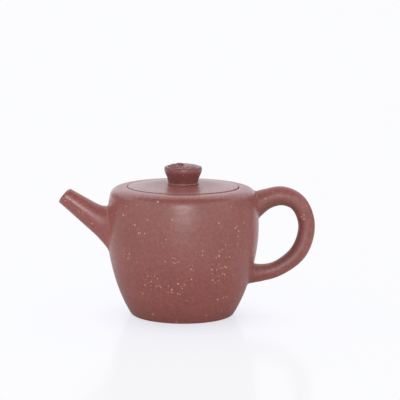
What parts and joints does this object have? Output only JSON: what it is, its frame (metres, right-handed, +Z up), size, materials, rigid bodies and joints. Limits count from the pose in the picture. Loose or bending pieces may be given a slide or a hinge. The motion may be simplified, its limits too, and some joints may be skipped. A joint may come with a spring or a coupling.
{
  "type": "yixing teapot",
  "caption": "Small round unglazed clay teapot with a straight spout, an ear-shaped handle, a strainer inside, and a flush inset lid with a carved button knob.",
  "frame": {"origin": "centre of the flat foot, on the pot's own axis", "axes": "+Z up, -X towards the spout, +X towards the handle"},
  "size_m": [0.1359, 0.0802, 0.0806],
  "materials": {
    "pot_clay": "unglazed, rubbed to a satin sheen, sand flecked",
    "inner_clay": "unglazed, dry",
    "lid_clay": "unglazed, rubbed to a satin sheen",
    "knob_clay": "unglazed, satin, a little darker"
  },
  "bodies": {
    "pot": {"body_wall": "pot_clay", "base_disc": "inner_clay", "shoulder_plate": "pot_clay", "lid_seat_ring": "inner_clay", "strainer_dome": "inner_clay", "spout": "pot_clay", "handle": "pot_clay"},
    "lid": {"lid_disc": "lid_clay", "lid_flange": "inner_clay", "knob_foot_ring": "lid_clay", "knob": "knob_clay", "knob_relief": "knob_clay"}
  },
  "joints": [
    {"name": "lid_lift", "type": "slide", "parent": "pot", "child": "lid", "axis": [0, 0, 1], "range_m": [0, 0.06]}
  ]
}
